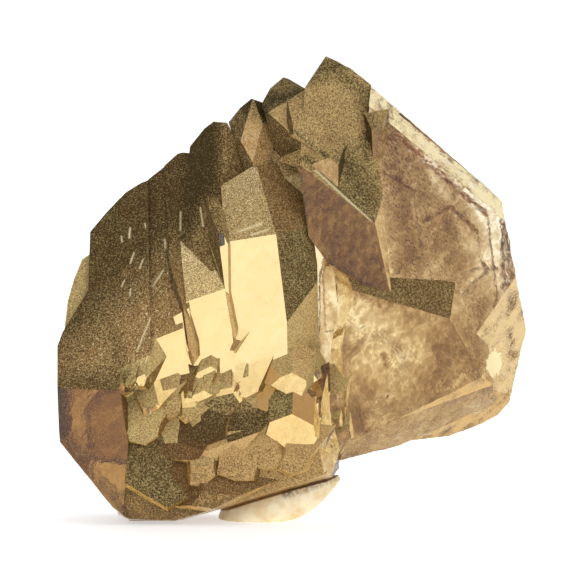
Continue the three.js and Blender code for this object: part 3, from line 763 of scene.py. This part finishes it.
class CrystalLook(bpy.types.PropertyGroup):
    body: bpy.props.FloatVectorProperty(
        name="Body", description="Colour that is left of light inside the clear crystal", subtype="COLOR",
        default=(0.95, 0.72, 0.05), min=0, max=1)
    depth: bpy.props.FloatProperty(
        name="Depth", description="How fast the clear crystal takes up light", default=70.0, min=0)
    smoke: bpy.props.FloatVectorProperty(
        name="Smoke", description="Tint of the smoky places", subtype="COLOR",
        default=(0.61, 0.505, 0.37), min=0, max=1)
    brown_dark: bpy.props.FloatVectorProperty(
        name="Dark brown", description="Dark grains of the brown dust", subtype="COLOR",
        default=linear(94, 64, 31), min=0, max=1)
    brown_pale: bpy.props.FloatVectorProperty(
        name="Pale brown", description="Pale grains of the brown dust", subtype="COLOR",
        default=linear(214, 174, 114), min=0, max=1)
    olive_dark: bpy.props.FloatVectorProperty(
        name="Dark olive", description="Dark grains of the olive dust", subtype="COLOR",
        default=linear(58, 44, 14), min=0, max=1)
    olive_pale: bpy.props.FloatVectorProperty(
        name="Pale olive", description="Pale grains of the olive dust", subtype="COLOR",
        default=linear(208, 182, 120), min=0, max=1)
    # cream is also the colour of the painted highlights along edges
    cream: bpy.props.FloatVectorProperty(
        name="Cream", description="The pale chip, ticks, glints and worn edges", subtype="COLOR",
        default=linear(252, 235, 186), min=0, max=1)
    grain: bpy.props.FloatProperty(
        name="Grain", description="Size of the dust grains", default=0.105 * MM, min=0.01 * MM,
        unit="LENGTH")
    finest: bpy.props.FloatProperty(
        name="Finest", description="Edge length of the broken surfaces", default=0.5 * MM, min=0.1 * MM,
        unit="LENGTH")
    deepest: bpy.props.FloatProperty(
        name="Deepest", description="Depth of the dents where the broken amount is 1",
        default=0.4 * MM, min=0, unit="LENGTH")


class PuttyLook(bpy.types.PropertyGroup):
    pale: bpy.props.FloatVectorProperty(
        name="Pale", description="Clean putty", subtype="COLOR",
        default=linear(255, 240, 204), min=0, max=1)
    shade: bpy.props.FloatVectorProperty(
        name="Shade", description="Handled putty", subtype="COLOR",
        default=linear(240, 214, 166), min=0, max=1)
    # the colour of the painted contact shadow along the crystal
    shadow_colour: bpy.props.FloatVectorProperty(
        name="Shadow", description="Dark streak along the crystal", subtype="COLOR",
        default=linear(96, 70, 46), min=0, max=1)


class StageLook(bpy.types.PropertyGroup):
    floor_size: bpy.props.FloatProperty(
        name="Floor", description="Half the width of the floor", default=2.0, min=0.2, unit="LENGTH")
    floor_glow: bpy.props.FloatProperty(
        name="Floor glow", description="Light that the floor gives back", default=0.5, min=0)
    camera_distance: bpy.props.FloatProperty(
        name="Camera distance", description="From the camera to the crystal", default=0.9, min=0.1,
        unit="LENGTH")
    camera_height: bpy.props.FloatProperty(
        name="Camera height", description="Angle that the camera looks down at", default=math.radians(3.5),
        unit="ROTATION")
    frame_width: bpy.props.FloatProperty(
        name="Frame width", description="Width of the view at the crystal", default=80.5 * MM, min=10 * MM,
        unit="LENGTH")


class GwindelLook(bpy.types.PropertyGroup):
    crystal: bpy.props.PointerProperty(type=CrystalLook, name="Crystal", description="The gwindel itself")
    putty: bpy.props.PointerProperty(type=PuttyLook, name="Putty", description="The pinch of putty")
    stage: bpy.props.PointerProperty(type=StageLook, name="Stage", description="Floor, light and camera")


# Pieces


class GWINDEL_OT_crystal(bpy.types.Operator):
    """Make the gwindel: clear smoky crystal with chlorite dust"""

    bl_idname = "gwindel.crystal"
    bl_label = "Gwindel crystal"

    def execute(self, context):
        look = context.scene.gwindel.crystal
        body = merged("gwindel_crystal")
        layers = [body.faces.layers.float.new(name) for name in FINISHES]
        for face in body.faces:
            for layer, amount in zip(layers, covering(face)):
                face[layer] = amount
            face.smooth = True
        bmesh.ops.triangulate(body, faces=body.faces)
        surface = broken_surface(body)
        refine(body, surface, look.finest)
        for edge in body.edges:
            edge.smooth = edge.calc_face_angle(0.0) < CRYSTAL_EDGE
        dent(body, surface, look.deepest)
        piece = new_object("crystal", body, smoky_quartz(look))
        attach(piece, "root")
        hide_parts("gwindel_crystal")
        return {"FINISHED"}


class GWINDEL_OT_putty(bpy.types.Operator):
    """Make the pinch of putty"""

    bl_idname = "gwindel.putty"
    bl_label = "Putty"

    def execute(self, context):
        body = merged("putty_rest")
        for face in body.faces:
            face.smooth = True
        for edge in body.edges:
            edge.smooth = edge.calc_face_angle(0.0) < PUTTY_EDGE
        piece = new_object("putty", body, putty_paste(context.scene.gwindel.putty))
        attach(piece, "root")
        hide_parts("putty_rest")
        return {"FINISHED"}


def studio_world():
    """Soft light from all sides, and a plain background that only the camera sees."""
    world = bpy.data.worlds.new("studio")
    bpy.context.scene.world = world
    shader = Shader(world)
    way = shader.add("SeparateXYZ", Vector=shader.add("TexCoord").outputs["Generated"])
    along, up = shader.value(way, "Y"), shader.value(way, "Z")
    right = shader.value(way, "X").at_least(0.0)
    level = ALL_ROUND + FRONT_AND_BACK * (along * along) ** 0.7 + ABOVE * up + RIGHT * right
    seen = shader.value(shader.add("LightPath"), "Is Camera Ray")
    strength = level * (1 - seen) + seen * BACKDROP
    light = shader.add("Background", Color=(1, 1, 1), Strength=strength)
    shader.add("OutputWorld", Surface=light.outputs[0])


def studio_camera(look):
    """A camera in front of the crystal that looks slightly down at it."""
    camera = bpy.data.objects.new("camera", bpy.data.cameras.new("camera"))
    bpy.context.scene.collection.objects.link(camera)
    away = Vector((0, -math.cos(look.camera_height), math.sin(look.camera_height)))
    camera.location = AIM + away * look.camera_distance
    camera.rotation_euler = (math.pi / 2 - look.camera_height, 0, 0)
    camera.data.sensor_width = SENSOR
    camera.data.lens = SENSOR * look.camera_distance / look.frame_width
    camera.data.clip_start = 0.01
    bpy.context.scene.camera = camera


class GWINDEL_OT_stage(bpy.types.Operator):
    """Make the floor, the light and the camera"""

    bl_idname = "gwindel.stage"
    bl_label = "Stage"

    def execute(self, context):
        look = context.scene.gwindel.stage
        context.scene.view_settings.view_transform = "Standard"
        ground = bmesh.new()
        bmesh.ops.create_grid(ground, x_segments=1, y_segments=1, size=look.floor_size)
        floor = new_object("floor", ground, floor_white(look))
        studio_world()
        studio_camera(look)
        return {"FINISHED"}


class GWINDEL_PT_panel(bpy.types.Panel):
    """Sizes and colours of the gwindel, and its pieces"""

    bl_idname = "GWINDEL_PT_panel"
    bl_label = "Gwindel"
    bl_space_type = "VIEW_3D"
    bl_region_type = "UI"
    bl_category = "Gwindel"

    def draw(self, context):
        look = context.scene.gwindel
        for part in (look.crystal, look.putty, look.stage):
            box = self.layout.box()
            for name in part.bl_rna.properties.keys():
                if name not in ("rna_type", "name"):
                    box.prop(part, name)
        for operator in (GWINDEL_OT_crystal, GWINDEL_OT_putty, GWINDEL_OT_stage):
            self.layout.operator(operator.bl_idname)


CLASSES = (CrystalLook, PuttyLook, StageLook, GwindelLook, GWINDEL_OT_crystal, GWINDEL_OT_putty,
           GWINDEL_OT_stage, GWINDEL_PT_panel)


def register():
    for entry in CLASSES:
        bpy.utils.register_class(entry)
    bpy.types.Scene.gwindel = bpy.props.PointerProperty(type=GwindelLook)


def unregister():
    del bpy.types.Scene.gwindel
    for entry in reversed(CLASSES):
        bpy.utils.unregister_class(entry)


def main():
    register()
    bpy.ops.gwindel.crystal()
    bpy.ops.gwindel.putty()
    bpy.ops.gwindel.stage()


if __name__ == "__main__":
    main()
